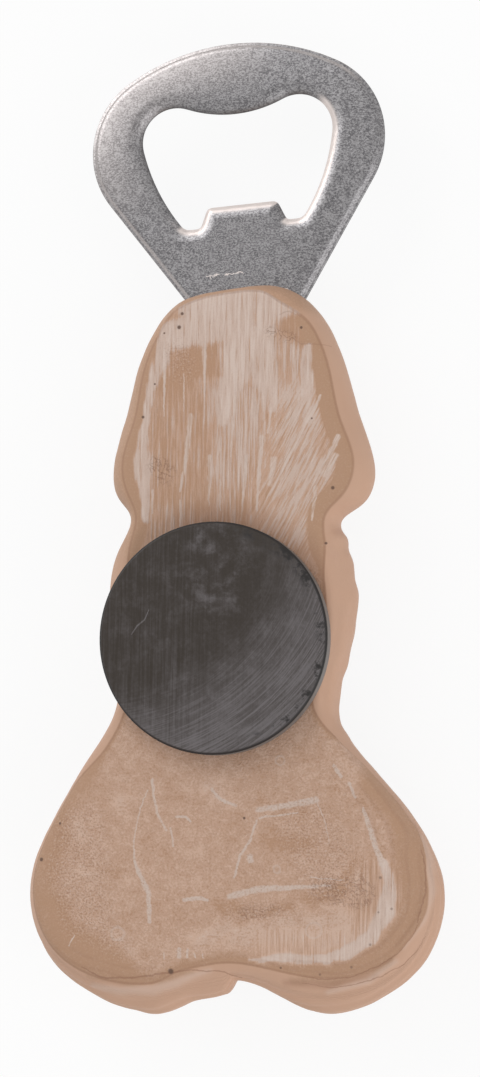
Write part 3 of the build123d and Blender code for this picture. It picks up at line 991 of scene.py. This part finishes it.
def seam_distance(at):
    """Distance from the seam between back and wall, which may run below the rim."""
    upper_right = fade(at.x, 4, 10) * fade(at.y, -8, -15)
    flank = fade(at.x, 4, 10) * fade(at.y, -12, -18) * fade(at.y, -32, -25)
    skirt = fade(at.x, -4, -9) * (0.5 * at.on_head + 1.2 * at.on_lobes)
    skirt += upper_right * (0.9 * fade(at.y, -42, -36) + 0.6 * fade(at.y, -30, -24))
    skirt += 0.6 * fade(at.y, 42, 46) * fade(at.x, 8, 5) + 0.8 * at.on_head * fade(at.x, 8, 13)
    return at.rim + skirt + 1.6 * flank - 5 * fade(at.depth - 1.5 * flank, 1.0, 2.0)


def casting_masks(at):
    """The masks that the resin's finish reads, by their names."""
    ground = np.column_stack((at.x, at.y, np.zeros(len(at.x))))
    ragged = np.column_stack([clouds(ground, 1.8, seed) for seed in (4, 5)])
    spots = ground[:, :2] + 0.35 * ragged
    bands = painted(spots, BANDS)
    sanded = np.maximum(painted(spots, SANDED), bands)
    seam = seam_distance(at)

    # The band along the rim that the sander didn't reach, and how soft its border is.
    to_left = fade(at.x, -9, -15)
    band = 0.5 + at.on_head * (1.2 * fade(at.x, -4, -8) + 1.8 * fade(at.x, 9, 13))
    band += at.on_lobes * (3.0 * fade(at.x, 12, 18) + 0.8 * at.to_sole + to_left * (
        1.6 + 1.8 * fade(at.y, -25, -33) + 1.8 * fade(at.y, -34, -42)))
    soft = 0.25 + at.on_lobes * (0.9 + 0.5 * to_left)
    band = fade(seam, band + soft, band - soft) * (1 - sanded) * (0.6 + 0.4 * at.on_head)

    worn = 0.46 - 0.06 * at.on_head
    worn += (1.0 - worn) * np.maximum(sanded, 0.45 * painted(spots, HALF_SANDED, 3.0))
    browned = 0.8 + at.on_head * (0.5 * fade(at.y, 30, 37) - 0.3)
    worn *= 1 - painted(spots, BROWN, 1.2) * browned
    worn = np.maximum(worn, bands) - 0.4 * band

    layered = painted(spots, LAYERED, 0.8)
    # On the head the left wall takes the olive as painted shade; the wall along the top takes the
    # olive too.
    layered += at.on_head * (fade(at.x, -4, -8) + fade(at.y, 44.5, 46.5))
    on_shoulder = fade(at.rim, 4.2, 2.4) * fade(at.x, 8, 14) + fade(at.rim, 2.0, 0.8) * at.to_sole
    return {
        "seam": seam,
        "band": band,
        "worn": worn,
        "wormed": painted(spots, WORMED, 1.0) * at.flat,
        "granular": painted(spots, GRANULAR, 3.0),
        "layered": np.clip(layered, 0, 1) * fade(at.depth, 9, 6),
        "folded": np.clip(on_shoulder, 0, 1) * at.on_lobes * fade(at.depth, 6, 3),
    }


def shape_casting(piece, rim_source, look):
    """Soft shoulder, folds, flash and unevenness of the cast handle; also its masks."""
    mesh = piece.data
    places, normals = vertex_places(mesh)
    at = CastingPlaces(places, normals, rim_source)
    places[:, 2] -= shoulder_drop(at, look)
    sides = fade(at.depth, 0.8, 2.2) * fade(at.depth, 11, 8)
    places += normals * (wall_push(at, places, sides) * MM)[:, None]

    level = np.column_stack((at.x, at.y))
    groove = painted(level, GROOVES, 0.9) * fade(at.depth, 5, 3)
    ridge = painted(level, RIDGES, 0.8) * fade(at.depth, 5, 3)
    places[:, 2] += (0.22 * ridge - (0.14 + 0.12 * at.to_right) * groove) * MM
    places[:, 1] -= sole_flash(at, sides) * MM
    wrinkles = 0.22 * fade(at.depth, 9, 12) * clouds(places, 3.5 * MM, 3)
    places += normals * (wrinkles * MM)[:, None]
    move_vertices(mesh, places)
    set_attributes(mesh, groove=groove, ridge=ridge, **casting_masks(at))


def shape_plate(piece, rim_source, look):
    """The loop's faces fall away towards their outer edge, and its opening is rolled."""
    mesh = piece.data
    places, _ = vertex_places(mesh)
    low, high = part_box("opener_plate")
    on_face = within_face(rim_source, high.z, places)
    rim = rim_distances(rim_source, high.z, places, outer_only=True) / MM
    edge = rim_distances(rim_source, high.z, places)
    inner = rim * MM > edge + 0.1 * MM
    rim = np.where(on_face | inner, rim, -rim)
    edge = np.where(on_face, edge, -edge)

    crown_width = 6.5
    fall = np.maximum(1 - rim / crown_width, 0) ** 2 * look.crown
    radius = look.rounding * np.where(inner, 1.0, 0.3)
    fall += 0.3 * radius * np.maximum(1 - edge / radius, 0) ** 2
    middle = (low.z + high.z) / 2
    off_middle = (places[:, 2] - middle) / (high.z - middle)
    places[:, 2] -= off_middle * np.minimum(fall, 0.8 * (high.z - middle))
    move_vertices(mesh, places)

    # Painted highlight along the outer edge at the loop's upper left.
    loop_middle = np.array(((low.x + high.x) / 2, high.y - 0.28 * (high.y - low.y)))
    outward = places[:, :2] - loop_middle
    outward /= np.linalg.norm(outward, axis=1)[:, None]
    upper_left = fade(outward @ np.array((-0.76, 0.65)), 0.2, 0.95)
    set_attributes(mesh, polish=0.22 * upper_left * fade(rim, 8.0, 0.0), mouth=inner * 1.0)


# ---- Operators ----
class OPENER_OT_handle(bpy.types.Operator):
    """Dress the cast resin handle"""
    bl_idname = "bottle_opener.handle"
    bl_label = "Handle"

    def execute(self, context):
        look = context.scene.opener_resin
        plate = merged_copy("opener_plate")
        source = merged_copy("handle")
        bm = source.copy()
        close_pocket(bm, plate)
        plate.free()
        piece = new_piece("resin_handle", bm)
        even_faces(piece, look.face_size)
        smoothed(piece, 2)
        places, _ = vertex_places(piece.data)
        smoothed(piece, 40, places[:, 2] < BACK_HEIGHT - RELIEF_DEPTH)
        shape_casting(piece, source, look)
        source.free()
        finish_piece(piece, resin_material(look), "handle")
        return {"FINISHED"}


class OPENER_OT_plate(bpy.types.Operator):
    """Dress the stamped steel opener plate"""
    bl_idname = "bottle_opener.plate"
    bl_label = "Opener plate"

    def execute(self, context):
        look = context.scene.opener_steel
        source = merged_copy("opener_plate")
        piece = new_piece("steel_plate", source.copy())
        even_faces(piece, look.face_size)
        smoothed(piece, 6)
        shape_plate(piece, source, look)
        source.free()
        finish_piece(piece, steel_material(look), "opener_plate")
        return {"FINISHED"}


class OPENER_OT_magnet(bpy.types.Operator):
    """Dress the magnet and the glue under it"""
    bl_idname = "bottle_opener.magnet"
    bl_label = "Magnet and glue"

    def execute(self, context):
        look = context.scene.opener_magnet
        for node, material in (("magnet", ferrite_material(look)),
                               ("magnet_adhesive", glue_material(look))):
            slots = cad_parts[node].data.materials
            slots.clear()
            slots.append(material)
        return {"FINISHED"}


class OPENER_OT_stage(bpy.types.Operator):
    """Set the floor, the light and the camera"""
    bl_idname = "bottle_opener.stage"
    bl_label = "Stage"

    def execute(self, context):
        look = context.scene.opener_stage
        scene = context.scene
        scene.view_settings.view_transform = "Standard"
        self.floor()
        self.world(scene, look)
        target = Vector((*CAMERA_TARGET, BACK_HEIGHT))
        self.camera(scene, look, target)
        for name, offset, breadth in LIGHTS:
            self.light(scene, name, getattr(look, name), target, Vector(offset), breadth)
        return {"FINISHED"}

    def floor(self):
        bm = bmesh.new()
        bmesh.ops.create_grid(bm, x_segments=1, y_segments=1, size=FLOOR_REACH)
        floor = new_piece("floor", bm)
        material = bpy.data.materials.new("Pale floor")
        material.use_nodes = True
        w = Wiring(material.node_tree)
        nodes = material.node_tree.nodes
        nodes.remove(nodes["Principled BSDF"])
        rough = w.fed("ShaderNodeBsdfDiffuse", {"Color": (0.93, 0.93, 0.93)}, 0)
        plain = w.node("ShaderNodeEmission").outputs[0]
        mixed = w.fed("ShaderNodeMixShader", {
            0: w.times(seen_ray(w), FLOOR_GLOW), 1: rough, 2: plain}, 0)
        w.feed(nodes["Material Output"].inputs["Surface"], mixed)
        floor.data.materials.append(material)

    def world(self, scene, look):
        world = bpy.data.worlds.new("Even light")
        scene.world = world
        world.use_nodes = True
        w = Wiring(world.node_tree)
        background = world.node_tree.nodes["Background"]
        background.inputs["Color"].default_value = (1, 1, 1, 1)
        w.feed(background.inputs["Strength"],
               w.weighted(seen_ray(w), 1 - look.ambient, look.ambient))

    def camera(self, scene, look, target):
        data = bpy.data.cameras.new("camera")
        data.sensor_fit = "VERTICAL"
        data.sensor_height = 36
        data.lens = CAMERA_LENS
        data.clip_start = 0.01
        camera = bpy.data.objects.new("camera", data)
        scene.collection.objects.link(camera)
        away = Vector(CAMERA_AWAY).normalized()
        side = Vector(CAMERA_UP).cross(away).normalized()
        turn = camera.matrix_world.to_3x3()
        turn.col[0], turn.col[1], turn.col[2] = side, away.cross(side), away
        camera.matrix_world = turn.to_4x4()
        camera.location = target + away * look.distance
        scene.camera = camera

    def light(self, scene, name, power, target, offset, breadth):
        """A square soft light; the card shows in reflections only."""
        data = bpy.data.lights.new(name, "AREA")
        data.shape = "SQUARE"
        data.size = breadth
        data.energy = power
        light = bpy.data.objects.new(name, data)
        scene.collection.objects.link(light)
        light.location = target + offset
        light.rotation_euler = (-offset).to_track_quat("-Z", "Y").to_euler()
        light.visible_diffuse = name != "card"


def seen_ray(w):
    """1 for rays that show the background itself, in view or in a reflection."""
    path = w.node("ShaderNodeLightPath").outputs
    return w.most((path["Is Camera Ray"], path["Is Glossy Ray"], path["Is Transmission Ray"]))


class OPENER_PT_panel(bpy.types.Panel):
    """The settings of each piece, with the operators that make them"""
    bl_idname = "OPENER_PT_panel"
    bl_label = "Bottle opener"
    bl_space_type = "VIEW_3D"
    bl_region_type = "UI"
    bl_category = "Bottle opener"

    def draw(self, context):
        for operator, settings in PIECES:
            box = self.layout.box()
            box.operator(operator.bl_idname)
            group_settings = getattr(context.scene, settings)
            for name in group_settings.__annotations__:
                box.prop(group_settings, name)


PIECES = (
    (OPENER_OT_handle, "opener_resin"),
    (OPENER_OT_plate, "opener_steel"),
    (OPENER_OT_magnet, "opener_magnet"),
    (OPENER_OT_stage, "opener_stage"),
)
SETTINGS = {
    "opener_resin": ResinSettings,
    "opener_steel": SteelSettings,
    "opener_magnet": MagnetSettings,
    "opener_stage": StageSettings,
}


def register():
    for settings in SETTINGS.values():
        bpy.utils.register_class(settings)
    for operator, _ in PIECES:
        bpy.utils.register_class(operator)
    bpy.utils.register_class(OPENER_PT_panel)
    for name, settings in SETTINGS.items():
        setattr(bpy.types.Scene, name, PointerProperty(type=settings))


def unregister():
    for name in SETTINGS:
        delattr(bpy.types.Scene, name)
    bpy.utils.unregister_class(OPENER_PT_panel)
    for operator, _ in PIECES:
        bpy.utils.unregister_class(operator)
    for settings in SETTINGS.values():
        bpy.utils.unregister_class(settings)


def main():
    register()
    bpy.ops.bottle_opener.handle()
    bpy.ops.bottle_opener.plate()
    bpy.ops.bottle_opener.magnet()
    bpy.ops.bottle_opener.stage()


if __name__ == "__main__":
    main()
